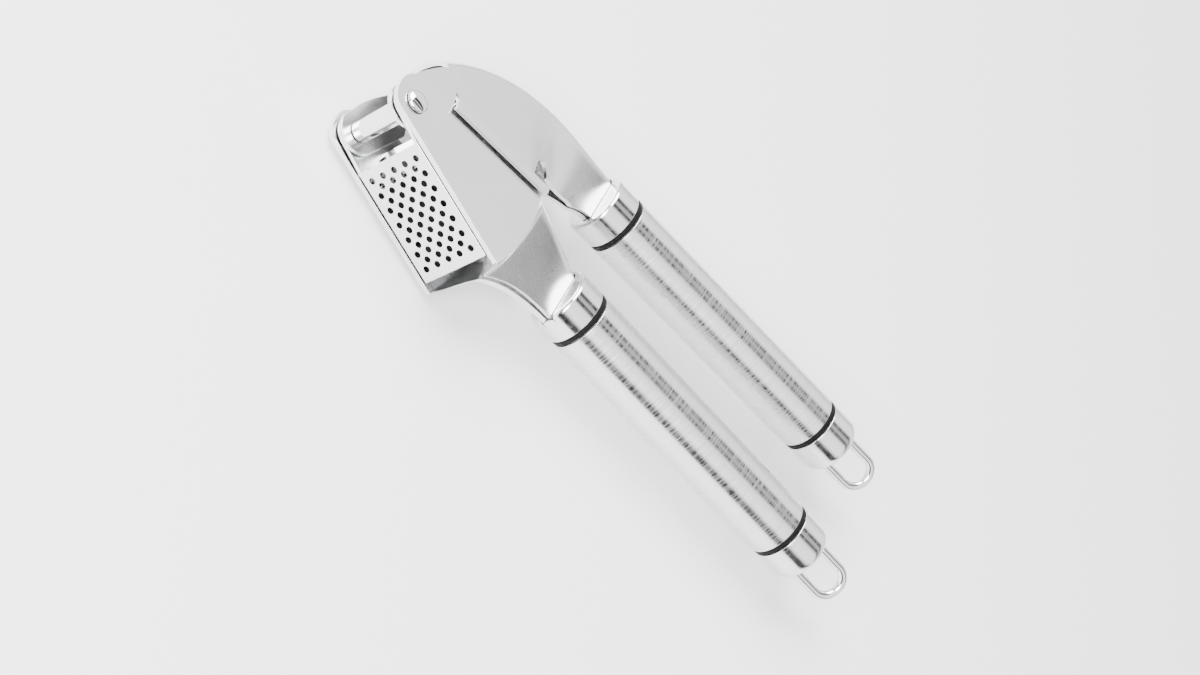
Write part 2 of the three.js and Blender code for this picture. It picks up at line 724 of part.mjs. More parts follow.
// The wire's centre line: a leg, a half round and the other leg
class LoopPath extends THREE.Curve {
  getPoint(t) {
    const leg = loopDepth + loopReach - wireRadius - loopHalfWidth;
    const bend = Math.PI * loopHalfWidth;
    const travelled = t * (leg * 2 + bend);
    if (travelled < leg) return new THREE.Vector3(travelled, -loopHalfWidth, 0);
    if (travelled > leg + bend) return new THREE.Vector3(leg * 2 + bend - travelled, loopHalfWidth, 0);
    const a = (travelled - leg) / loopHalfWidth - Math.PI / 2;
    return new THREE.Vector3(leg + loopHalfWidth * Math.cos(a), loopHalfWidth * Math.sin(a), 0);
  }
}

function hangingLoop() {
  const section = new THREE.Shape();
  section.absarc(0, 0, wireRadius, 0, Math.PI * 2);
  const geometry = new THREE.ExtrudeGeometry(section, {
    steps: 24,
    curveSegments: 5,
    bevelEnabled: false,
    extrudePath: new LoopPath(),
  });
  geometry.translate(ringSpacing + capLength - loopDepth, 0, 0);
  return solidOf(geometry.rotateX(loopRoll));
}

// ---- Materials and assembly ----

const finishes = {
  sheet: { color: 0xcfcfd0, roughness: 0.32, metalness: 1 },
  polished: { color: 0xdedede, roughness: 0.12, metalness: 1 },
  brushed: { color: 0xc8c8c8, roughness: 0.38, metalness: 1 },
  dark: { color: 0x2a2a2b, roughness: 0.6, metalness: 1 },
  black: { color: 0x0b0b0c, roughness: 0.6, metalness: 0 },
};

function piece(name, solid, finish) {
  const mesh = new THREE.Mesh(geometryOf(solid), new THREE.MeshStandardMaterial(finishes[finish]));
  mesh.name = name;
  return mesh;
}

// One handle, placed by its front ring. The room that its neck needs is brought into the handle's own frame.
function handle(prefix, place, tilt, neckRoom) {
  const group = new THREE.Group();
  group.position.set(place.x, place.y, 0);
  group.rotation.z = tilt;
  group.updateMatrix();
  const local = geometryOf(neckRoom).applyMatrix4(group.matrix.clone().invert());
  group.add(
    piece(`${prefix}_front_ferrule`, ferrule(solidOf(local)), 'polished'),
    piece(`${prefix}_front_ring`, ring(0), 'black'),
    piece(`${prefix}_grip_tube`, gripTube(), 'brushed'),
    piece(`${prefix}_rear_ring`, ring(ringSpacing), 'black'),
    piece(`${prefix}_end_cap`, endCap(), 'polished'),
    piece(`${prefix}_hanging_loop`, hangingLoop(), 'polished'),
  );
  return group;
}

const press = new THREE.Group();
press.add(
  piece('lower_frame', lowerFrame(), 'sheet'),
  piece('main_pin', headedPin(pinRadius, cheekOuter + gap, pinHeadRadius, pinHeadHeight), 'polished'),
  piece('pin_spacer', spacer(), 'polished'),
  handle('lower', lowerRing, 0, filled(neckStations(gap))),
  piece('hopper', hopper(), 'sheet'),
  piece('upper_frame', upperFrame(), 'sheet'),
  piece('plunger_hanger', plungerHanger(), 'sheet'),
  piece(
    'plunger_pin',
    headedPin(plungerPinRadius, hangerOuter + gap, plungerPinHead, plungerPinHeadHeight)
      .translate([plungerPin.x, plungerPin.y, 0]),
    'polished',
  ),
  piece('plunger_plate', plungerPlate(), 'dark'),
  piece('plunger_lug', plungerLug(), 'sheet'),
  handle('upper', upperRing, upperTilt, filled(archStationsOf(gap))),
);

const box = new THREE.Box3().setFromObject(press);
const middle = box.getCenter(new THREE.Vector3());
press.position.set(-middle.x, -middle.y, -box.min.z);

const part = new THREE.Group();
part.add(press);

export default part;
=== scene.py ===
"""Looks of a stainless-steel garlic press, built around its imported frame.

Shapes are drawn in millimetres about the main pin: X runs along the lower handle, Y towards the upper
lever and Z along the pin. Handle pieces are drawn about their own front ring. solid() turns millimetres
into the frame's metres, and at_pin() and at_ring() put the pieces in their places.
"""

import math

import bmesh
import bpy
from mathutils import Matrix, Vector


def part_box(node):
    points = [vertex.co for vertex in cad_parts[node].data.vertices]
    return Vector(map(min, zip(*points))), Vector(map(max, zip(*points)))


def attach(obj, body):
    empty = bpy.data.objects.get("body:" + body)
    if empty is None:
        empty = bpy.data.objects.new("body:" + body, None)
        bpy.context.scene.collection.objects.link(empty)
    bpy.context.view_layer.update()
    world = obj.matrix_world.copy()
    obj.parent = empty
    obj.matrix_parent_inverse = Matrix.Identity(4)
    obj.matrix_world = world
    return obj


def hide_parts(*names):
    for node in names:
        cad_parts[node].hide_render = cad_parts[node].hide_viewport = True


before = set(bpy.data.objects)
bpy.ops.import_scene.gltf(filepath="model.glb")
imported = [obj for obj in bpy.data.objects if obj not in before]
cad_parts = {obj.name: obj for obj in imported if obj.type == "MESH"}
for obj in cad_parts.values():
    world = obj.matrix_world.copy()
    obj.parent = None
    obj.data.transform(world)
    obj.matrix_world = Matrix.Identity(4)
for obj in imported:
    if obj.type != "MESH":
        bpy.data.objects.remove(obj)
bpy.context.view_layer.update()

MM = 0.001


# ---- Places and sizes that the frame gives ----


def centre(node):
    low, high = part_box(node)
    return (low + high) / 2


def size(node):
    low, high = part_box(node)
    return (high - low) / MM


PIN = centre("main_pin")
LOWER_RING = centre("lower_front_ring")
UPPER_RING = centre("upper_front_ring")
UPPER_RUN = centre("upper_rear_ring") - UPPER_RING
TILT = math.atan2(UPPER_RUN.y, UPPER_RUN.x)
RING_SPACING = UPPER_RUN.length / MM
GRIP_RADIUS = size("lower_grip_tube").z / 2
PLUNGER_PIN = (centre("plunger_pin") - PIN) / MM
LOWER_AXIS_Y = (LOWER_RING.y - PIN.y) / MM
UPPER_AXIS_Y = (UPPER_RING.y - PIN.y) / MM
FERRULE_LENGTH = (LOWER_RING.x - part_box("lower_front_ferrule")[0].x) / MM
LOWER_FERRULE_X = (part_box("lower_front_ferrule")[0].x - PIN.x) / MM
UPPER_FERRULE_X = (UPPER_RING.x - PIN.x) / MM - FERRULE_LENGTH
CAP_LENGTH = (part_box("lower_end_cap")[1].x - centre("lower_rear_ring").x) / MM
LOOP_REACH = (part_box("lower_hanging_loop")[1].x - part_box("lower_end_cap")[1].x) / MM

# ---- Sizes of the sheet parts, in millimetres ----

GAP = 0.3
PIN_RADIUS = 2.0
PIN_HEAD_RADIUS = size("main_pin").x / 2
PIN_HEAD_HEIGHT = 1.7
PLUNGER_PIN_RADIUS = 1.8
PLUNGER_PIN_HEAD = 3.0
PLUNGER_PIN_HEAD_HEIGHT = 1.0
SPACER_WALL = 0.8

HOPPER_HALF = 11.8
HOPPER_SHEET = 1.0
FLOOR_ANGLE = math.radians(18.3)
FLOOR_DEPTH = 6.5
FRONT_RADIUS = 11.1
REAR_RADIUS = 44.6
FRONT_TOP = math.radians(20)
HOPPER_EAR = 5.6
HOPPER_EAR_TOP = math.radians(100)
HOPPER_EAR_FOOT = math.radians(238)
HOPPER_EAR_LAP = 2.0
HOLE_RADIUS = 1.0
HOLE_PITCH_ALONG = 4.66
HOLE_PITCH_ACROSS = 4.37
FULL_ROWS = 7
HOLES_IN_FULL_ROW = 5

RIM_ANGLE = math.radians(4.4)
RIM_START = (10.2, 11.1)
RIM_END_X = 46.9
RIM_ACROSS = 4.3
LIP_HEIGHT = 3.5
LIP_INNER = 14.65
LIP_OUTER = 15.55

CHEEK_INNER = 12.35
CHEEK_OUTER = 13.85
CHEEK_REAR = 47.5
EAR_RADIUS = 7.0
EAR_CENTRE = (0.2, 1.6)
EAR_TOP = math.radians(85)
EAR_FRONT = math.radians(185)
NOSE_START = -1.5
NOSE_CORNER = -5.2
CHEEK_STEP = 0.7
NECK_TOP_HALF = 4.9
NECK_FOOT_HALF = 1.9
NECK_FOLD = 2.8
NECK_FOOT_RISE = 7.0
NECK_LAP = 0.6
NECK_FOOT_LIFT = 0.4
NECK_TOP_IN_FERRULE = 2.4
NECK_FOOT_IN_FERRULE = 0.8
SHOULDER_TOP_IN = 0.5
SHOULDER_FOOT_IN = 11.5
SHOULDER_START = 0.6
SHOULDER_LENGTH = 3.0
INTO_FERRULE = 3.8

ARCH_SHEET = 1.2
ARCH_RADIUS = 67.3
ARCH_CENTRE = (54.0, -17.0)
ARCH_FRONT = math.radians(141)
ARCH_EAR_RUN = math.radians(156)
ARCH_EAR_LAP = math.radians(136)
ARCH_FOOT_HALF = 1.5
ARCH_TAPER_START = 2.0
FOOT_NARROW_LEAD = 4.6
FOOT_NARROW_LENGTH = 20.0
ARCH_HALF = 10.4
ARCH_EAR = 6.4
ARCH_EAR_FRONT = math.radians(150)
ARCH_EAR_FOOT = math.radians(330)
ARCH_TOP_IN_FERRULE = 1.5
ARCH_FOOT_IN_FERRULE = 2.2
CROWN_HEIGHT = 4.0
ARCH_TO_RIM = 0.5
SKIRT_END = 43.6
CUTOUT_HEIGHT = 28.5
CUTOUT_RADIUS = 4.0
EDGE_BEND = (11.0, 1.0)
EDGE_RISE = (18.4, 2.6)
EDGE_MARGIN = 2.0

RING_HALF = 0.7
RING_RECESS = 0.15
GRIP_WALL = 1.1
SPIGOT_LENGTH = 8.0
FERRULE_CORNER = 1.3
CAP_CORNER = 3.6
WIRE_RADIUS = 1.45
LOOP_HALF = 5.2
LOOP_DEPTH = 6.0
LOOP_ROLL = math.radians(45)

PIN_BORE = PIN_RADIUS + GAP
SPIGOT_RADIUS = GRIP_RADIUS - GRIP_WALL - GAP

ROUND = 96
FINE = 48


# ---- Small sums ----


def mix(a, b, t):
    return a + (b - a) * t


def ease(t):
    u = min(1.0, max(0.0, t))
    return u * u * (3 - 2 * u)


def steps(start, end, count):
    """count + 1 evenly spaced values."""
    return [mix(start, end, i / count) for i in range(count + 1)]


def floor_point(along, depth):
    """A point by its distance along the hopper's floor and its depth below the pin."""
    c, s = math.cos(FLOOR_ANGLE), math.sin(FLOOR_ANGLE)
    return (along * c - depth * s, -along * s - depth * c)


def on_radius(radius, depth):
    """Where a circle about the pin meets the line that lies depth below it."""
    return floor_point(math.sqrt(radius**2 - depth**2), depth)


def angle_of(point):
    return math.atan2(point[1], point[0])


def rim_y(x):
    return RIM_START[1] + (x - RIM_START[0]) * math.tan(RIM_ANGLE)


def under_rim(x):
    return rim_y(x) - HOPPER_SHEET - GAP


def arc(centre_point, radius, start, end, count):
    x, y = centre_point
    return [(x + radius * math.cos(a), y + radius * math.sin(a)) for a in steps(start, end, count)]


def rounded(points, radius, count=3, closed=True):
    """The outline with each corner cut back by radius and rounded."""
    result = []
    last = len(points) - 1
    for i, point in enumerate(points):
        here = Vector(point)
        if not closed and i in (0, last):
            result.append(tuple(here))
            continue
        before = Vector(points[i - 1])
        after = Vector(points[(i + 1) % len(points)])
        a, b = before - here, after - here
        reach = min(radius, a.length * 0.45, b.length * 0.45)
        start, end = here + a.normalized() * reach, here + b.normalized() * reach
        for t in steps(0, 1, count):
            curve = start * (1 - t) ** 2 + here * 2 * t * (1 - t) + end * t**2
            result.append(tuple(curve))
    return result


# ---- Meshes ----


def solid(name, points, faces):
    """A closed mesh with its faces turned out, from points in millimetres about the pin."""
    mesh = bpy.data.meshes.new(name)
    mesh.from_pydata([Vector(p) * MM for p in points], [], faces)
    work = bmesh.new()
    work.from_mesh(mesh)
    bmesh.ops.remove_doubles(work, verts=work.verts, dist=1e-7)
    bmesh.ops.recalc_face_normals(work, faces=work.faces)
    work.to_mesh(mesh)
    work.free()
    obj = bpy.data.objects.new(name, mesh)
    bpy.context.scene.collection.objects.link(obj)
    return obj


def apply_modifiers(obj):
    bpy.context.view_layer.update()
    graph = bpy.context.evaluated_depsgraph_get()
    mesh = bpy.data.meshes.new_from_object(obj.evaluated_get(graph))
    old = obj.data
    obj.modifiers.clear()
    obj.data = mesh
    bpy.data.meshes.remove(old)
    return obj


def soften(obj, width, angle=35, segments=3):
    """Rounds the edges that are sharper than angle, as a deburred sheet's are."""
    bevel = obj.modifiers.new("soften", "BEVEL")
    bevel.width = width * MM
    bevel.segments = segments
    bevel.limit_method = "ANGLE"
    bevel.angle_limit = math.radians(angle)
    bevel.miter_outer = "MITER_ARC"
    return apply_modifiers(obj)


def combine(obj, others, operation):
    for other in others:
        step = obj.modifiers.new(operation, "BOOLEAN")
        step.operation = operation
        step.object = other
        step.solver = "EXACT"
    apply_modifiers(obj)
    for other in others:
        bpy.data.objects.remove(other)
    return obj


def join(obj, others):
    return combine(obj, others, "UNION")


def cut(obj, others):
    return combine(obj, others, "DIFFERENCE")


def prism(outline, z0, z1, name="prism"):
    """A flat outline thickened from z0 to z1."""
    count = len(outline)
    points = [(x, y, z0) for x, y in outline] + [(x, y, z1) for x, y in outline]
    sides = [(i, (i + 1) % count, (i + 1) % count + count, i + count) for i in range(count)]
    caps = [tuple(range(count)), tuple(range(count, count * 2))]
    return solid(name, points, sides + caps)


def prism_pair(outline, z0, z1, edge):
    return [soften(prism(outline, a, b), edge) for a, b in ((z0, z1), (-z1, -z0))]


def cylinder(x, y, radius, half, facets=FINE):
    return prism(arc((x, y), radius, 0, math.tau * (1 - 1 / facets), facets - 1), -half, half)


def lathe(name, profile, axis="x", facets=ROUND):
    """A turned piece from [distance along the axis, radius] points, open only on the axis."""
    rings, points, faces = [], [], []
    for along, radius in profile:
        count = 1 if radius < 1e-6 else facets
        rings.append(list(range(len(points), len(points) + count)))
        for i in range(count):
            a = math.tau * i / facets
            across = (radius * math.cos(a), radius * math.sin(a))
            points.append((along, *across) if axis == "x" else (*across, along))
    closed = len(rings[0]) > 1
    pairs = list(zip(rings, rings[1:] + rings[:1])) if closed else list(zip(rings, rings[1:]))
    for a, b in pairs:
        for i in range(facets):
            j = (i + 1) % facets
            corners = [a[i % len(a)], a[j % len(a)], b[j % len(b)], b[i % len(b)]]
            face = list(dict.fromkeys(corners))
            if len(face) > 2:
                faces.append(face)
    return solid(name, points, faces)


def loft(name, rings):
    """A solid through closed rings. First and last points of a ring face each other across it."""
    count = len(rings[0])
    points = [p for ring in rings for p in ring]
    faces = []
    for r in range(len(rings) - 1):
        for i in range(count):
            j = (i + 1) % count
            faces.append((r * count + i, r * count + j, (r + 1) * count + j, (r + 1) * count + i))
    end = (len(rings) - 1) * count
    for i in range(count // 2 - 1):
        quad = (i, i + 1, count - 2 - i, count - 1 - i)
        faces.append(quad)
        faces.append(tuple(end + k for k in quad))
    return solid(name, points, faces)


def mirrored(half_section):
    return half_section + [(h, -z) for h, z in reversed(half_section[:-1])]


def channel(name, stations, sheet):
    """A folded sheet. Each station is (outer, place): [height, z] points and where to put them."""
    rings = []
    for outer, place in stations:
        inner = []
        for i, (h, z) in enumerate(outer):
            h0, z0 = outer[max(0, i - 1)]
            h1, z1 = outer[min(len(outer) - 1, i + 1)]
            length = math.hypot(h1 - h0, z1 - z0)
            inner.append((h + sheet * (z1 - z0) / length, z - sheet * (h1 - h0) / length))
        rings.append([place(h, z) for h, z in outer + inner[::-1]])
    return loft(name, rings)


def filled(stations):
    """The room that such a channel needs inside a ferrule."""
    return loft("room", [[place(h, z) for h, z in outer] for outer, place in stations])


# ---- Finishing a piece ----


def finish(obj, name, node, body, material, smooth=32):
    """Names, shades and paints a piece, hides its CAD node and ties the piece to its body."""
    obj.name = name
    obj.data.name = name
    for face in obj.data.polygons:
        face.use_smooth = True
    obj.data.set_sharp_from_angle(angle=math.radians(smooth))
    weighted = obj.modifiers.new("weighted", "WEIGHTED_NORMAL")
    weighted.keep_sharp = True
    obj.data.materials.clear()
    obj.data.materials.append(material)
    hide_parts(node)
    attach(obj, body)
    return obj


def at_pin(obj):
    obj.location = PIN
    return obj


def at_ring(obj, ring_place, tilt):
    obj.location = ring_place
    obj.rotation_euler = (0, 0, tilt)
    return obj


# ---- Materials ----


class Paint:
    """Short ways to add and link shader nodes of one material."""

    def __init__(self, name):
        self.material = bpy.data.materials.new(name)
        self.material.use_nodes = True
        self.tree = self.material.node_tree
        self.tree.nodes.clear()
        self.shader = self.node("ShaderNodeBsdfPrincipled")
        output = self.node("ShaderNodeOutputMaterial")
        self.link(self.shader.outputs[0], output.inputs["Surface"])
        self.place = self.node("ShaderNodeTexCoord").outputs["Object"]

    def node(self, kind, **values):
        made = self.tree.nodes.new(kind)
        for key, value in values.items():
            setattr(made, key, value)
        return made

    def link(self, source, target):
        self.tree.links.new(source, target)

    def set(self, **values):
        for key, value in values.items():
            self.shader.inputs[key.replace("_", " ")].default_value = value

    def stretched(self, scale, turn=(0, 0, 0)):
        """Object coordinates in metres, turned and then scaled along each axis."""
        mapping = self.node("ShaderNodeMapping")
        mapping.inputs["Rotation"].default_value = turn
        mapping.inputs["Scale"].default_value = scale
        self.link(self.place, mapping.inputs["Vector"])
        return mapping.outputs["Vector"]

    def noise(self, vector, detail=2, roughness=0.5, scale=1):
        made = self.node("ShaderNodeTexNoise")
        made.inputs["Scale"].default_value = scale
        made.inputs["Detail"].default_value = detail
        made.inputs["Roughness"].default_value = roughness
        self.link(vector, made.inputs["Vector"])
        return made.outputs["Fac"]

    def ramp(self, source, low, high, out_low, out_high):
        made = self.node("ShaderNodeMapRange")
        for key, value in (
            ("From Min", low),
            ("From Max", high),
            ("To Min", out_low),
            ("To Max", out_high),
        ):
            made.inputs[key].default_value = value
        self.link(source, made.inputs["Value"])
        return made.outputs["Result"]

    def math(self, operation, a, b):
        made = self.node("ShaderNodeMath", operation=operation)
        for index, value in enumerate((a, b)):
            if isinstance(value, (int, float)):
                made.inputs[index].default_value = value
            else:
                self.link(value, made.inputs[index])
        return made.outputs[0]

    def colours(self, source, low, high):
        made = self.node("ShaderNodeMix", data_type="RGBA")
        made.inputs[6].default_value = (*low, 1)
        made.inputs[7].default_value = (*high, 1)
        self.link(source, made.inputs[0])
        self.link(made.outputs[2], self.shader.inputs["Base Color"])

    def bump(self, height, distance, strength=1.0, under=None):
        made = self.node("ShaderNodeBump")
        made.inputs["Distance"].default_value = distance * MM
        made.inputs["Strength"].default_value = strength
        self.link(height, made.inputs["Height"])
        if under is not None:
            self.link(under, made.inputs["Normal"])
        return made.outputs["Normal"]

    def normal(self, source):
        self.link(source, self.shader.inputs["Normal"])


def wear(paint):
    """1 along rounded edges, 0 on flat and smooth surfaces."""
    geometry = paint.node("ShaderNodeNewGeometry")
    return paint.ramp(geometry.outputs["Pointiness"], 0.505, 0.56, 0, 1)


def sheet_steel():
    """Pressed sheet with a fine tumbled grain, faint smudges, hairline marks and brighter edges."""
    paint = Paint("sheet_steel")
    paint.set(Metallic=1.0, Anisotropic=0.25)
    grain = paint.noise(paint.stretched((5200, 5200, 5200)), detail=3, roughness=0.65)
    drawn = paint.noise(paint.stretched((260, 7000, 7000), (0, 0, 0.35)), detail=3)
    smudge = paint.noise(paint.stretched((55, 80, 60), (0.3, 0.1, 0.6)), detail=4)
    hair = paint.noise(paint.stretched((70, 2600, 900), (0.2, 0.1, 0.9)), detail=2)
    marks = paint.ramp(hair, 0.69, 0.75, 0, 1)
    base = paint.ramp(smudge, 0.3, 0.7, 0.24, 0.32)
    rough = paint.math("ADD", base, paint.ramp(drawn, 0.3, 0.7, -0.03, 0.03))
    rough = paint.math("ADD", rough, paint.math("MULTIPLY", marks, 0.10))
    rough = paint.math("SUBTRACT", rough, paint.math("MULTIPLY", wear(paint), 0.10))
    paint.link(rough, paint.shader.inputs["Roughness"])
    smudged = paint.ramp(smudge, 0.25, 0.75, 0.15, 0.6)
    tone = paint.math("ADD", smudged, paint.ramp(grain, 0.3, 0.7, -0.1, 0.25))
    paint.colours(tone, (0.745, 0.75, 0.76), (0.86, 0.86, 0.865))
    grained = paint.bump(grain, 0.004, 0.5)
    paint.normal(paint.bump(marks, -0.004, 0.35, under=grained))
    return paint.material


def polished_steel():
    """Mirror-bright wire and pins with faint swirls and a few fine scratches."""
    paint = Paint("polished_steel")
    paint.set(Metallic=1.0)
    swirl = paint.noise(paint.stretched((150, 210, 180), (0.4, 0.2, 0.7)), detail=4)
    fine = paint.noise(paint.stretched((500, 5200, 5200), (0.1, 0.6, 0.2)), detail=2)
    marks = paint.ramp(fine, 0.68, 0.74, 0, 1)
    swirled = paint.ramp(swirl, 0.3, 0.7, 0.07, 0.14)
    rough = paint.math("ADD", swirled, paint.math("MULTIPLY", marks, 0.08))
    paint.link(rough, paint.shader.inputs["Roughness"])
    paint.colours(paint.ramp(swirl, 0.3, 0.7, 0, 1), (0.80, 0.805, 0.815), (0.87, 0.87, 0.875))
    paint.normal(paint.bump(marks, -0.003, 0.3))
    return paint.material


def dark_steel():
    """Near-black, fine-grained steel with a few rubbed patches, for the hidden plunger; its near-black colour
    is painted shade that makes the floor's holes look dark.
    """
    paint = Paint("dark_steel")
    paint.set(Metallic=0.6, Specular_IOR_Level=0.2)
    grain = paint.noise(paint.stretched((1900, 1900, 1900)), detail=4, roughness=0.6)
    rubbed = paint.noise(paint.stretched((130, 160, 140), (0.2, 0.5, 0.1)), detail=3)
    paint.link(paint.ramp(rubbed, 0.3, 0.7, 0.5, 0.68), paint.shader.inputs["Roughness"])
    # Painted shade: the plunger's colour is kept near black so that the shade seen through the holes comes
    # out dark
    paint.colours(paint.ramp(rubbed, 0.35, 0.7, 0, 1), (0.012, 0.012, 0.013), (0.035, 0.035, 0.037))
    paint.normal(paint.bump(grain, 0.015, 0.5))
    return paint.material


def turned_steel(name, rough_low, rough_high, lines, tones):
    """Steel brushed round its own X axis: each line has its own roughness and tone."""
    paint = Paint(name)
    paint.set(Metallic=1.0, Anisotropic=0.72, Anisotropic_Rotation=0.25)
    tangent = paint.node("ShaderNodeTangent", direction_type="RADIAL", axis="X")
    paint.link(tangent.outputs[0], paint.shader.inputs["Tangent"])
    coarse = paint.noise(paint.stretched((lines, 55, 55)), detail=3, roughness=0.7)
    fine = paint.noise(paint.stretched((lines * 4.5, 160, 160)), detail=2, roughness=0.6)
    smudge = paint.noise(paint.stretched((30, 90, 90), (0.2, 0, 0)), detail=3)
    lined = paint.ramp(coarse, 0.32, 0.68, rough_low, rough_high)
    rough = paint.math("ADD", lined, paint.ramp(fine, 0.3, 0.7, -0.05, 0.05))
    rough = paint.math("ADD", rough, paint.ramp(smudge, 0.3, 0.7, -0.02, 0.03))
    paint.link(rough, paint.shader.inputs["Roughness"])
    tone = paint.math("MULTIPLY", paint.ramp(fine, 0.25, 0.75, 0.35, 1), paint.ramp(coarse, 0.3, 0.7, 0.6, 1))
    paint.colours(tone, *tones)
    ridged = paint.bump(coarse, 0.006, 0.35)
    paint.normal(paint.bump(fine, 0.003, 0.35, under=ridged))
    return paint.material


def black_rubber():
    paint = Paint("black_rubber")
    paint.set(Metallic=0.0, Specular_IOR_Level=0.12)
    speck = paint.noise(paint.stretched((2600, 2600, 2600)), detail=4)
    cloud = paint.noise(paint.stretched((240, 240, 240)), detail=3)
    paint.link(paint.ramp(cloud, 0.3, 0.7, 0.42, 0.6), paint.shader.inputs["Roughness"])
    paint.colours(paint.ramp(speck, 0.3, 0.7, 0, 1), (0.002, 0.002, 0.002), (0.007, 0.007, 0.007))
    paint.normal(paint.bump(speck, 0.02, 0.4))
    return paint.material


SHEET = sheet_steel()
POLISHED = polished_steel()
BRUSHED = turned_steel("brushed_steel", 0.16, 0.36, 1500, ((0.70, 0.705, 0.71), (0.86, 0.86, 0.865)))
SATIN = turned_steel("satin_steel", 0.14, 0.24, 2600, ((0.78, 0.78, 0.785), (0.86, 0.86, 0.865)))
RUBBER = black_rubber()
PAINTED_SHADE_STEEL = dark_steel()


# ---- Lower lever ----


def section(foot, shoulder, foot_half, top_half, crown):
    walls = [(mix(foot, shoulder, t), mix(foot_half, top_half, t)) for t in steps(0, 0.9, 6)]
    return mirrored(walls + crown)


def neck_section(foot, top, top_half, foot_half):
    """Flat top between two quarter-round folds."""
    shoulder = top - NECK_FOLD
    crown = []
    for a in steps(0, math.pi / 2, 8):
        fold = (shoulder + NECK_FOLD * math.sin(a), top_half - NECK_FOLD * (1 - math.cos(a)))
        crown.append(fold)
    crown.append((top, 0))
    return section(foot, shoulder, foot_half, top_half, crown)


def neck_stations(grow=0.0):
    """The neck starts on the cheeks' rear arc, steps in behind them and stands straight at the ferrule."""
    start = CHEEK_REAR - NECK_LAP
    top_start = under_rim(REAR_RADIUS)
    top_end = LOWER_AXIS_Y + GRIP_RADIUS - NECK_TOP_IN_FERRULE
    foot_end = LOWER_AXIS_Y - GRIP_RADIUS + NECK_FOOT_IN_FERRULE
    fall = on_radius(CHEEK_REAR, FLOOR_DEPTH)[1] + NECK_FOOT_LIFT - foot_end
    end = LOWER_FERRULE_X + INTO_FERRULE + grow
    stations = []
    for s in steps(start, start + 6, 30)[:-1] + steps(start + 6, LOWER_FERRULE_X, 24) + [end]:
        t = min(1.0, (s - start) / (LOWER_FERRULE_X - start))

        def half(step_in, half_end):
            stepped = CHEEK_OUTER - step_in * ease((s - start - SHOULDER_START) / SHOULDER_LENGTH)
            return mix(stepped, half_end, t) + grow

        foot = foot_end + fall * math.exp(-(s - start) / NECK_FOOT_RISE) - grow
        top = mix(top_start, top_end, t) + grow
        top_half = half(SHOULDER_TOP_IN, NECK_TOP_HALF)
        foot_half = half(SHOULDER_FOOT_IN, NECK_FOOT_HALF)
        outer = neck_section(foot, top, top_half, foot_half)
        bend = 1 - ease(t)

        def put(y, z, s=s, bend=bend):
            arc_x = math.sqrt(CHEEK_REAR**2 - y**2) - CHEEK_REAR
            return (s + arc_x * bend, y, z)

        stations.append((outer, put))
    return stations


def cheek_outline():
    corner = on_radius(CHEEK_REAR, FLOOR_DEPTH)
    nose, turn = floor_point(NOSE_START, FLOOR_DEPTH), floor_point(NOSE_CORNER, FLOOR_DEPTH)
    rear_top = under_rim(REAR_RADIUS)
    step = RIM_START[0] - CHEEK_STEP
    ear = arc(EAR_CENTRE, EAR_RADIUS, EAR_TOP, EAR_FRONT, 28)
    turned_edge = []
    for t in steps(0, 1, 10)[1:]:
        a, b, c = Vector(ear[-1]), Vector(turn), Vector(nose)
        turned_edge.append(tuple(a * (1 - t) ** 2 + b * 2 * t * (1 - t) + c * t**2))
    rear = arc((0, 0), CHEEK_REAR, angle_of(corner), math.asin(rear_top / CHEEK_REAR), 48)
    notch = [(step, under_rim(step)), (step, rim_y(step) - CHEEK_STEP)]
    return rear + rounded([rear[-1], *notch, ear[0]], 0.5, closed=False)[1:-1] + ear + turned_edge


def lower_frame():
    neck = soften(channel("neck", neck_stations(), CHEEK_OUTER - CHEEK_INNER), 0.25, angle=60)
    cheeks = prism_pair(cheek_outline(), CHEEK_INNER, CHEEK_OUTER, 0.3)
    bore = cylinder(0, 0, PIN_BORE, CHEEK_OUTER + 1)
    whole = cut(join(neck, cheeks), [bore])
    finish(at_pin(whole), "cheeks_and_neck", "lower_frame", "lower_lever", SHEET)


def headed_pin(name, node, body, x, y, radius, half, head_radius, head_height):
    dome = [
        (half + head_height * math.sin(a), head_radius * math.cos(a))
        for a in steps(math.radians(12), math.pi / 2, 14)
    ]
    foot = (half, head_radius - 0.12)
    edge = [(half + 0.08, head_radius)] + dome
    side = [(half, radius), foot] + edge
    side[-1] = (half + head_height, 0)
    far = [(-along, r) for along, r in reversed(side)]
    pin = lathe(name, far + side, axis="z")
    pin.location = PIN + Vector((x, y, 0)) * MM
    finish(pin, name, node, body, POLISHED)


def spacer():
    half = size("pin_spacer").z / 2
    inner, outer = PIN_BORE, PIN_BORE + SPACER_WALL
    profile = rounded([(-half, inner), (half, inner), (half, outer), (-half, outer)], 0.25)
    sleeve = lathe("spacer", profile, axis="z")
    finish(at_pin(sleeve), "pin_sleeve", "pin_spacer", "lower_lever", POLISHED)


# ---- Hopper ----


def hole_cutter():
    """All the holes of the floor as one mesh of short cylinders."""
    front = math.sqrt(FRONT_RADIUS**2 - FLOOR_DEPTH**2)
    rear = math.sqrt(REAR_RADIUS**2 - FLOOR_DEPTH**2)
    first = (front + rear - HOLE_PITCH_ALONG * (FULL_ROWS - 1)) / 2
    points, faces = [], []
    facets = 20
    for row in range(FULL_ROWS * 2 - 1):
        count = HOLES_IN_FULL_ROW - row % 2
        for i in range(count):
            along = first + row * HOLE_PITCH_ALONG / 2
            across = (i - (count - 1) / 2) * HOLE_PITCH_ACROSS
            base = len(points)
            for depth in (FLOOR_DEPTH + 0.5, FLOOR_DEPTH - HOPPER_SHEET - 0.5):
                for k in range(facets):
                    a = math.tau * k / facets
                    x, y = floor_point(along + HOLE_RADIUS * math.cos(a), depth)
                    points.append((x, y, across + HOLE_RADIUS * math.sin(a)))
            for k in range(facets):
                j = (k + 1) % facets
                faces.append((base + k, base + j, base + facets + j, base + facets + k))
            faces.append(tuple(range(base, base + facets)))
            faces.append(tuple(range(base + facets, base + facets * 2)))
    return solid("holes", points, faces)


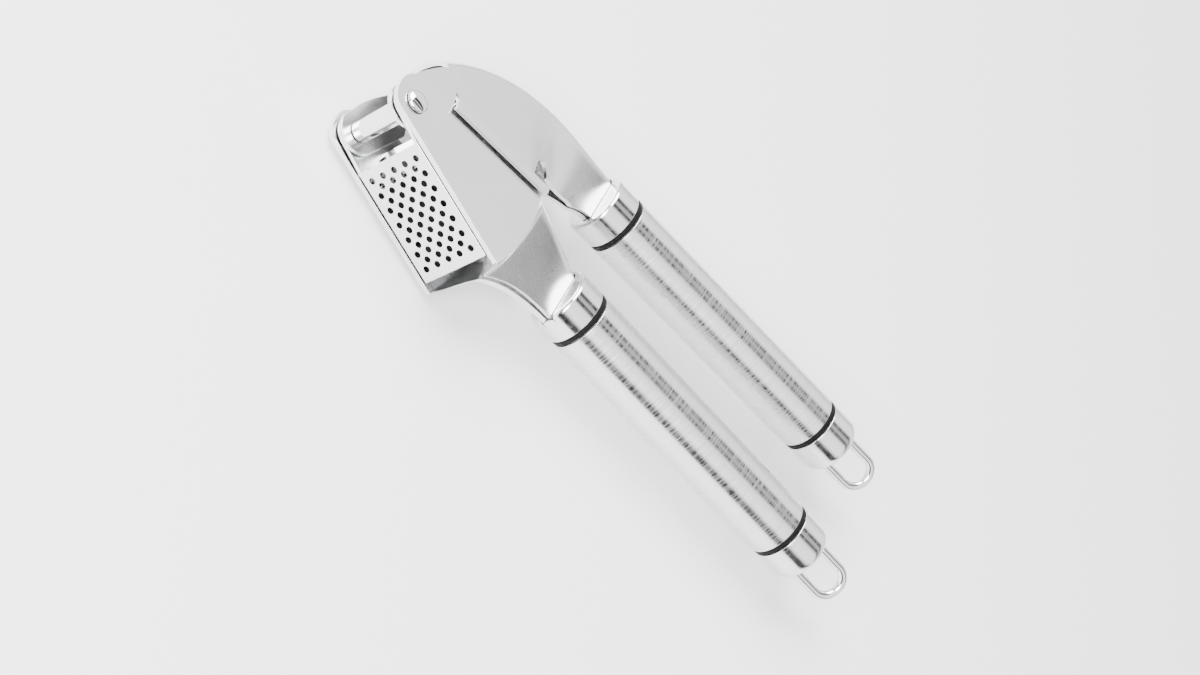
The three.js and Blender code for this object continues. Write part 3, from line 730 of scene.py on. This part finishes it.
def hopper_outline(inset, over):
    depth, front, rear = FLOOR_DEPTH - inset, FRONT_RADIUS + inset, REAR_RADIUS - inset
    front_foot, rear_foot = on_radius(front, depth), on_radius(rear, depth)
    rear_top = math.asin((rim_y(rear) + over) / rear)
    outline = arc((0, 0), rear, angle_of(rear_foot), rear_top, 40)
    outline.append((front * math.cos(FRONT_TOP), rim_y(front) + over))
    return outline + arc((0, 0), front, FRONT_TOP, angle_of(front_foot), 24)


def hopper():
    inner = HOPPER_HALF - HOPPER_SHEET
    box = soften(prism(hopper_outline(0, -HOPPER_SHEET / 2), -HOPPER_HALF, HOPPER_HALF), 0.35)
    foot = floor_point(math.sqrt(FRONT_RADIUS**2 - FLOOR_DEPTH**2) + 0.5, FLOOR_DEPTH)
    rise = rim_y(FRONT_RADIUS) - HOPPER_SHEET
    ear = arc((0, 0), HOPPER_EAR, HOPPER_EAR_TOP, HOPPER_EAR_FOOT, 30)
    ear += [foot, (FRONT_RADIUS + HOPPER_EAR_LAP, rise), (FRONT_RADIUS - HOPPER_EAR_LAP, rise)]
    ears = prism_pair(ear, inner, HOPPER_HALF, 0.2)
    hollow = soften(prism(hopper_outline(HOPPER_SHEET, 10), -inner, inner), 0.4)
    wall_top = FRONT_RADIUS * math.sin(FRONT_TOP)
    reach = FRONT_RADIUS + HOPPER_SHEET + 1
    above_front = prism([(0, wall_top), (reach, wall_top), (reach, 21), (0, 21)], -inner, inner)
    bore = cylinder(0, 0, PIN_BORE, HOPPER_HALF + 1)
    whole = cut(join(box, [*ears, *rim_strips()]), [above_front, hollow, bore, hole_cutter()])
    finish(at_pin(whole), "pierced_hopper", "hopper", "hopper", SHEET)


def rim_strips():
    """The rim runs over both cheeks and across the rear, and turns down outside each cheek."""

    def strip(x0, x1, height):
        return [(x0, rim_y(x0) - height), (x1, rim_y(x1) - height), (x1, rim_y(x1)), (x0, rim_y(x0))]

    inner = HOPPER_HALF - HOPPER_SHEET
    turn = 0.85
    strips = []
    for side in (1, -1):
        section_points = [
            (inner, 0),
            (inner, -HOPPER_SHEET),
            (LIP_INNER, -HOPPER_SHEET),
            (LIP_INNER, -LIP_HEIGHT),
            (LIP_OUTER, -LIP_HEIGHT),
        ]
        section_points += [
            (LIP_OUTER - turn + turn * math.cos(a), -turn + turn * math.sin(a))
            for a in steps(0, math.pi / 2, 6)
        ]
        rings = []
        for x in (RIM_START[0], RIM_END_X):
            rings.append([(x, rim_y(x) + h, side * z) for z, h in section_points])
        count = len(section_points)
        faces = [(i, (i + 1) % count, (i + 1) % count + count, i + count) for i in range(count)]
        faces += [tuple(range(count)), tuple(range(count, count * 2))]
        strips.append(soften(solid("rim", rings[0] + rings[1], faces), 0.18, angle=50))
    across = prism(strip(RIM_END_X - RIM_ACROSS, RIM_END_X, HOPPER_SHEET), -LIP_INNER + 0.2, LIP_INNER - 0.2)
    return [*strips, soften(across, 0.18)]


# ---- Upper lever ----


def arch_section(foot, top, top_half, foot_half):
    """Two walls under a crown that is half an ellipse."""
    shoulder = top - CROWN_HEIGHT
    crown = [
        (shoulder + CROWN_HEIGHT * math.sin(a), top_half * math.cos(a))
        for a in steps(0, math.pi / 2, 16)
    ]
    crown[-1] = (top, 0)
    return section(foot, shoulder, foot_half, top_half, crown)


def crown_half(x):
    """Half width of the crown, which narrows towards the ferrule."""
    taper = (x - ARCH_TAPER_START) / (UPPER_FERRULE_X - ARCH_TAPER_START)
    return mix(ARCH_HALF, NECK_TOP_HALF, max(0.0, min(1.0, taper)))


def under_crown(x, z, clearance):
    """Depth below the arch's radius that clears the crown's inner face at x, out to z."""
    half = crown_half(x)
    level = math.sqrt(1 - (z / half) ** 2)
    slope = CROWN_HEIGHT * z / (half**2 * level)
    return CROWN_HEIGHT * (1 - level) + (ARCH_SHEET + clearance) * math.hypot(1, slope)


def arch_stations(grow=0.0):
    """Sections fan out about the arch's centre, then run straight to the ferrule."""
    cx, cy = ARCH_CENTRE
    edge_below = CUTOUT_HEIGHT - EDGE_MARGIN

    def halves(top_x, foot_x):
        closed = ease((foot_x - SKIRT_END + FOOT_NARROW_LEAD) / FOOT_NARROW_LENGTH)
        return (
            crown_half(top_x) + grow,
            mix(ARCH_HALF, ARCH_FOOT_HALF, closed) + grow,
        )

    stations = []
    for angle in steps(ARCH_FRONT, math.pi / 2, 44):
        c, s = math.cos(angle), math.sin(angle)
        to_rim = (rim_y(cx) + ARCH_TO_RIM - cy) / (s - c * math.tan(RIM_ANGLE))
        to_edge = (edge_below - cy) / s
        foot_x = cx + c * to_edge
        risen = ease((foot_x - SKIRT_END) / CUTOUT_RADIUS)
        foot = min(mix(to_rim, to_edge, risen), ARCH_RADIUS - CROWN_HEIGHT - ARCH_SHEET)
        outer = arch_section(foot, ARCH_RADIUS + grow, *halves(cx + c * ARCH_RADIUS, foot_x))
        stations.append((outer, lambda h, z, c=c, s=s: (cx + h * c, cy + h * s, z)))
    top_end = UPPER_AXIS_Y + GRIP_RADIUS - ARCH_TOP_IN_FERRULE
    foot_end = UPPER_AXIS_Y - GRIP_RADIUS + ARCH_FOOT_IN_FERRULE
    end = UPPER_FERRULE_X + INTO_FERRULE + grow
    for x in steps(cx, end, 26)[1:]:
        share = ease((x - cx) / (UPPER_FERRULE_X - cx))
        foot = mix(edge_below, foot_end, share) - grow
        top = mix(cy + ARCH_RADIUS, top_end, share) + grow
        outer = arch_section(foot, top, *halves(x, x))
        stations.append((outer, lambda h, z, x=x: (x, h, z)))
    return stations


def upper_frame():
    cx, cy = ARCH_CENTRE
    shoulder = ARCH_RADIUS - CROWN_HEIGHT

    def on_arch(angle):
        return (cx + shoulder * math.cos(angle), cy + shoulder * math.sin(angle))

    ear = arc((0, 0), ARCH_EAR, ARCH_EAR_FRONT, ARCH_EAR_FOOT, 36)
    ear += [(RIM_START[0] + HOPPER_EAR_LAP, rim_y(RIM_START[0]) + ARCH_TO_RIM + GAP)]
    ear += [on_arch(angle) for angle in steps(ARCH_EAR_LAP, ARCH_EAR_RUN, 14)]
    ears = prism_pair(ear, ARCH_HALF - ARCH_SHEET, ARCH_HALF, 0.2)
    step = CUTOUT_HEIGHT - CUTOUT_RADIUS
    hump = arc((SKIRT_END + CUTOUT_RADIUS, step), CUTOUT_RADIUS, math.pi, math.pi / 4, 18)
    bend = Vector((SKIRT_END + EDGE_BEND[0], CUTOUT_HEIGHT + EDGE_BEND[1]))
    rise = Vector((SKIRT_END + EDGE_RISE[0], CUTOUT_HEIGHT + EDGE_RISE[1]))
    edge = []
    for t in steps(0, 1, 14)[1:]:
        edge.append(tuple(Vector(hump[-1]) * (1 - t) ** 2 + bend * 2 * t * (1 - t) + rise * t**2))
    behind = UPPER_FERRULE_X + 1
    outline = [(SKIRT_END, 0), *hump, *edge, (behind, UPPER_AXIS_Y - GRIP_RADIUS), (behind, 0)]
    clearance = prism(outline, -ARCH_HALF - 1, ARCH_HALF + 1)
    bore = cylinder(0, 0, PIN_BORE, ARCH_HALF + 1)
    arch = soften(channel("arch", arch_stations(), ARCH_SHEET), 0.2, angle=60)
    whole = cut(join(arch, ears), [clearance, bore])
    finish(at_pin(whole), "arched_lever", "upper_frame", "upper_lever", SHEET)


# ---- Handles ----


def quarter(along, radius, corner, start, end, count=12):
    return [(along + corner * math.cos(a), radius + corner * math.sin(a)) for a in steps(start, end, count)]


def ferrule(stations, ring_place, tilt):
    start = -FERRULE_LENGTH
    shoulder = -RING_HALF - GAP
    edge = 0.25
    profile = [
        (start, 0),
        *quarter(start + FERRULE_CORNER, GRIP_RADIUS - FERRULE_CORNER, FERRULE_CORNER, math.pi, math.pi / 2),
        *quarter(shoulder - edge, GRIP_RADIUS - edge, edge, math.pi / 2, 0, 4),
        (shoulder, SPIGOT_RADIUS),
        (SPIGOT_LENGTH, SPIGOT_RADIUS),
        (SPIGOT_LENGTH, 0),
    ]
    body = lathe("ferrule", profile)
    room = filled(stations)
    offset = (ring_place - PIN) / MM
    turn = Matrix.Rotation(-tilt, 4, "Z") @ Matrix.Translation(-offset * MM)
    room.data.transform(turn)
    return cut(body, [room])


def rubber_ring(middle):
    outer = GRIP_RADIUS - RING_RECESS
    inner = SPIGOT_RADIUS + GAP
    corners = [
        (middle - RING_HALF, inner),
        (middle + RING_HALF, inner),
        (middle + RING_HALF, outer),
        (middle - RING_HALF, outer),
    ]
    return lathe("ring", rounded(corners, 0.3, count=4))


def grip_tube():
    start = RING_HALF + GAP
    end = RING_SPACING - RING_HALF - GAP
    inner = GRIP_RADIUS - GRIP_WALL
    corners = [(start, inner), (end, inner), (end, GRIP_RADIUS), (start, GRIP_RADIUS)]
    return lathe("tube", rounded(corners, 0.25, count=4))


def end_cap():
    end = RING_SPACING + CAP_LENGTH
    shoulder = RING_SPACING + RING_HALF + GAP
    edge = 0.25
    profile = [
        (RING_SPACING - SPIGOT_LENGTH, 0),
        (RING_SPACING - SPIGOT_LENGTH, SPIGOT_RADIUS),
        (shoulder, SPIGOT_RADIUS),
        *quarter(shoulder + edge, GRIP_RADIUS - edge, edge, math.pi, math.pi / 2, 4),
        *quarter(end - CAP_CORNER, GRIP_RADIUS - CAP_CORNER, CAP_CORNER, math.pi / 2, 0, 20),
        (end, 0),
    ]
    body = lathe("cap", profile)
    sockets = []
    for side in (-1, 1):
        bore = lathe("socket", [(-LOOP_DEPTH - GAP, 0), (-LOOP_DEPTH - GAP, WIRE_RADIUS + 0.12),
                                (1, WIRE_RADIUS + 0.12), (1, 0)], facets=32)
        across = side * LOOP_HALF
        place = Vector((end, across * math.cos(LOOP_ROLL), across * math.sin(LOOP_ROLL)))
        bore.data.transform(Matrix.Translation(place * MM))
        sockets.append(bore)
    return cut(body, sockets)


def hanging_loop():
    """Round wire: a leg, a half round and the other leg, swept as rings across its path."""
    leg = LOOP_DEPTH + LOOP_REACH - WIRE_RADIUS - LOOP_HALF
    path = [((x, -LOOP_HALF), (0, -1)) for x in steps(0, leg, 8)[:-1]]
    for a in steps(-math.pi / 2, math.pi / 2, 40):
        side = (math.cos(a), math.sin(a))
        path.append(((leg + LOOP_HALF * side[0], LOOP_HALF * side[1]), side))
    path += [((x, LOOP_HALF), (0, 1)) for x in steps(leg, 0, 8)[1:]]
    facets = 32
    chamfer = 0.3
    start = RING_SPACING + CAP_LENGTH - LOOP_DEPTH
    first, last = path[0], path[-1]
    tips = ((first[0][0] - chamfer, first[0][1]), (last[0][0] - chamfer, last[0][1]))
    rings = [(tips[0], first[1], WIRE_RADIUS - chamfer)]
    rings += [(middle, side, WIRE_RADIUS) for middle, side in path]
    rings += [(tips[1], last[1], WIRE_RADIUS - chamfer)]
    points, faces = [], []
    for (x, y), (nx, ny), radius in rings:
        for k in range(facets):
            a = math.tau * k / facets
            out, up = radius * math.cos(a), radius * math.sin(a)
            points.append((start + x + nx * out, y + ny * out, up))
    for r in range(len(rings) - 1):
        for k in range(facets):
            j = (k + 1) % facets
            low = r * facets
            faces.append((low + k, low + j, low + facets + j, low + facets + k))
    faces.append(tuple(range(facets)))
    faces.append(tuple(range(len(points) - facets, len(points))))
    wire = solid("loop", points, faces)
    wire.data.transform(Matrix.Rotation(LOOP_ROLL, 4, "X"))
    return wire


def handle(prefix, body, ring_place, tilt, stations):
    pieces = (
        (ferrule(stations, ring_place, tilt), "front_ferrule", "satin_steel", SATIN),
        (rubber_ring(0), "front_ring", "black_rubber", RUBBER),
        (grip_tube(), "grip_tube", "brushed_steel", BRUSHED),
        (rubber_ring(RING_SPACING), "rear_ring", "black_rubber", RUBBER),
        (end_cap(), "end_cap", "satin_steel", SATIN),
        (hanging_loop(), "hanging_loop", "polished_steel", POLISHED),
    )
    for obj, kind, slot, material in pieces:
        at_ring(obj, ring_place, tilt)
        finish(obj, f"{prefix}_{kind}_fine", f"{prefix}_{kind}", body, material)


# ---- Plunger ----

LUG_INNER = 3.4
LUG_SHEET = 1.5
LUG_OUTER = LUG_INNER + LUG_SHEET
HANGER_INNER = LUG_OUTER + GAP
HANGER_OUTER = HANGER_INNER + LUG_SHEET
PLUNGER_THICKNESS = 3.0
PLUNGER_TO_FLOOR = 2.0
PLUNGER_TO_FRONT = 3.5
PLUNGER_TO_WALL = 0.55
PLUNGER_FACE = FLOOR_DEPTH - HOPPER_SHEET - PLUNGER_TO_FLOOR
LUG_FOOT = 6.5
LUG_RADIUS = 4.2
HANGER_RADIUS = 4.6
HANGER_TO_CROWN = 0.45
PLUNGER_BORE = PLUNGER_PIN_RADIUS + GAP


def plunger_plate():
    back = PLUNGER_FACE - PLUNGER_THICKNESS
    front = FRONT_RADIUS + HOPPER_SHEET + PLUNGER_TO_FRONT
    rear = REAR_RADIUS - HOPPER_SHEET - PLUNGER_TO_WALL
    rear_angles = [angle_of(on_radius(rear, depth)) for depth in (PLUNGER_FACE, back)]
    front_angles = [angle_of(on_radius(front, depth)) for depth in (back, PLUNGER_FACE)]
    outline = arc((0, 0), rear, *rear_angles, 8) + arc((0, 0), front, *front_angles, 8)
    half = size("plunger_plate").z / 2
    plate = soften(prism(outline, -half, half), 0.4)
    # The plunger foot's near-black steel is painted shade, seen through the floor's holes
    finish(at_pin(plate), "plunger_foot", "plunger_plate", "plunger", PAINTED_SHADE_STEEL)


def plunger_lug():
    back = PLUNGER_FACE - PLUNGER_THICKNESS - GAP
    px, py = PLUNGER_PIN.x, PLUNGER_PIN.y
    middle = px * math.cos(FLOOR_ANGLE) - py * math.sin(FLOOR_ANGLE)
    near, far = middle - LUG_FOOT, middle + LUG_FOOT
    front, rear = floor_point(near, back), floor_point(far, back)
    lug = [front, rear] + arc((px, py), LUG_RADIUS, -FLOOR_ANGLE, math.pi - FLOOR_ANGLE, 30)
    inner = back - LUG_SHEET
    foot = [front, rear, floor_point(far, inner), floor_point(near, inner)]
    strap = soften(prism(foot, -LUG_OUTER, LUG_OUTER), 0.25)
    whole = join(strap, prism_pair(lug, LUG_INNER, LUG_OUTER, 0.25))
    whole = cut(whole, [cylinder(px, py, PLUNGER_BORE, LUG_OUTER + 1)])
    finish(at_pin(whole), "plunger_strap", "plunger_lug", "plunger", SHEET)


def plunger_hanger():
    cx, cy = ARCH_CENTRE
    px, py = PLUNGER_PIN.x, PLUNGER_PIN.y
    width = HANGER_RADIUS
    top = ARCH_RADIUS - under_crown(px + width, HANGER_OUTER, HANGER_TO_CROWN)
    web = top - LUG_SHEET

    def angle_at(x, radius):
        return math.acos((x - cx) / radius)

    def curve(radius, x0, x1):
        return arc(ARCH_CENTRE, radius, angle_at(x0, radius), angle_at(x1, radius), 12)

    leg = curve(top, px + width, px - width) + arc((px, py), width, math.pi, math.tau, 28)
    band = curve(top, px + width, px - width) + curve(web, px - width, px + width)
    bridge = soften(prism(band, -HANGER_OUTER, HANGER_OUTER), 0.25)
    whole = join(bridge, prism_pair(leg, HANGER_INNER, HANGER_OUTER, 0.25))
    whole = cut(whole, [cylinder(px, py, PLUNGER_BORE, HANGER_OUTER + 1)])
    finish(at_pin(whole), "plunger_bracket", "plunger_hanger", "upper_lever", SHEET)


# ---- Build ----

lower_frame()
pin_half = size("main_pin").z / 2 - PIN_HEAD_HEIGHT
main_sizes = (PIN_RADIUS, pin_half, PIN_HEAD_RADIUS, PIN_HEAD_HEIGHT)
headed_pin("pin_with_heads", "main_pin", "lower_lever", 0, 0, *main_sizes)
spacer()
hopper()
upper_frame()
plunger_half = size("plunger_pin").z / 2 - PLUNGER_PIN_HEAD_HEIGHT
rivet_sizes = (PLUNGER_PIN_RADIUS, plunger_half, PLUNGER_PIN_HEAD, PLUNGER_PIN_HEAD_HEIGHT)
headed_pin("plunger_rivet", "plunger_pin", "upper_lever", PLUNGER_PIN.x, PLUNGER_PIN.y, *rivet_sizes)
plunger_plate()
plunger_lug()
plunger_hanger()
handle("lower", "lower_lever", LOWER_RING, 0.0, neck_stations(GAP))
handle("upper", "upper_lever", UPPER_RING, TILT, arch_stations(GAP))


# ---- Floor, light and camera ----


def pale_floor():
    paint = Paint("pale_floor")
    paint.set(Roughness=0.6, Specular_IOR_Level=0.2)
    paper = paint.noise(paint.stretched((900, 900, 900)), detail=3)
    paint.colours(paint.ramp(paper, 0.3, 0.7, 0, 1), (0.945, 0.945, 0.945), (0.965, 0.965, 0.965))
    half = 4.0
    mesh = bpy.data.meshes.new("floor")
    corners = [(-half, -half, 0), (half, -half, 0), (half, half, 0), (-half, half, 0)]
    mesh.from_pydata(corners, [], [(0, 1, 2, 3)])
    floor = bpy.data.objects.new("floor", mesh)
    bpy.context.scene.collection.objects.link(floor)
    floor.data.materials.append(paint.material)


def studio_world():
    """A white dome with dark bands that run along X, as flags beside a light tent."""
    world = bpy.data.worlds.new("studio")
    bpy.context.scene.world = world
    world.use_nodes = True
    tree = world.node_tree
    tree.nodes.clear()
    output = tree.nodes.new("ShaderNodeOutputWorld")
    background = tree.nodes.new("ShaderNodeBackground")
    tree.links.new(background.outputs[0], output.inputs[0])
    coordinates = tree.nodes.new("ShaderNodeTexCoord")
    split = tree.nodes.new("ShaderNodeSeparateXYZ")
    tree.links.new(coordinates.outputs["Generated"], split.inputs[0])
    turn = tree.nodes.new("ShaderNodeMath")
    turn.operation = "ARCTAN2"
    tree.links.new(split.outputs["Z"], turn.inputs[0])
    tree.links.new(split.outputs["Y"], turn.inputs[1])
    share = tree.nodes.new("ShaderNodeMath")
    share.operation = "DIVIDE"
    tree.links.new(turn.outputs[0], share.inputs[0])
    share.inputs[1].default_value = math.pi
    ramp = tree.nodes.new("ShaderNodeValToRGB")
    tree.links.new(share.outputs[0], ramp.inputs[0])
    elements = ramp.color_ramp.elements
    elements[0].position, elements[0].color = 0.0, (1, 1, 1, 1)
    elements[1].position, elements[1].color = 1.0, (0, 0, 0, 1)
    # Angles up from +Y, in degrees, and the brightness of the dome there
    bands = ((8, 0.45), (20, 0.7), (32, 0.9), (50, 0.95), (60, 0.95), (64, 0.2), (67, 0.0), (74, 0.0),
             (78, 0.25), (83, 0.4), (87, 0.4), (91, 0.03), (98, 0.0), (102, 0.3), (107, 0.95), (146, 1.0),
             (154, 0.6), (158, 0.08), (163, 0.0))
    for degrees, value in bands:
        element = elements.new(degrees / 180)
        element.color = (value, value, value, 1)
    tree.links.new(ramp.outputs[0], background.inputs["Color"])
    background.inputs["Strength"].default_value = 2.2


def softbox(name, place, aim, width, height, watts):
    light = bpy.data.lights.new(name, "AREA")
    light.shape = "RECTANGLE"
    light.size, light.size_y = width, height
    light.energy = watts
    lamp = bpy.data.objects.new(name, light)
    bpy.context.scene.collection.objects.link(lamp)
    lamp.location = place
    lamp.rotation_euler = (Vector(aim) - Vector(place)).to_track_quat("-Z", "Y").to_euler()


VIEW_AZIMUTH = math.radians(238.82)
VIEW_ELEVATION = math.radians(38.33)
VIEW_ROLL = math.radians(-66.94)
VIEW_DISTANCE = 0.6829
VIEW_AIM = Vector((-0.0037, -0.0054, 0.0076))
LENS = 70.57


def camera():
    across = math.cos(VIEW_ELEVATION)
    sideways = (across * math.cos(VIEW_AZIMUTH), across * math.sin(VIEW_AZIMUTH))
    back = Vector((*sideways, math.sin(VIEW_ELEVATION)))
    data = bpy.data.cameras.new("camera")
    data.sensor_width = 36
    data.lens = LENS
    data.clip_start = 0.01
    view = bpy.data.objects.new("camera", data)
    bpy.context.scene.collection.objects.link(view)
    aim = (-back).to_track_quat("-Z", "Y").to_matrix().to_4x4()
    turn = Matrix.Rotation(-VIEW_ROLL, 4, "Z")
    view.matrix_world = Matrix.Translation(VIEW_AIM + back * VIEW_DISTANCE) @ aim @ turn
    bpy.context.scene.camera = view


pale_floor()
studio_world()
softbox("key", (-0.9, 0.35, 1.1), (0, 0, 0), 1.2, 1.0, 60)
softbox("front", (-0.5, -0.9, 0.7), (0, -0.3, 0), 0.8, 0.5, 30)
camera()
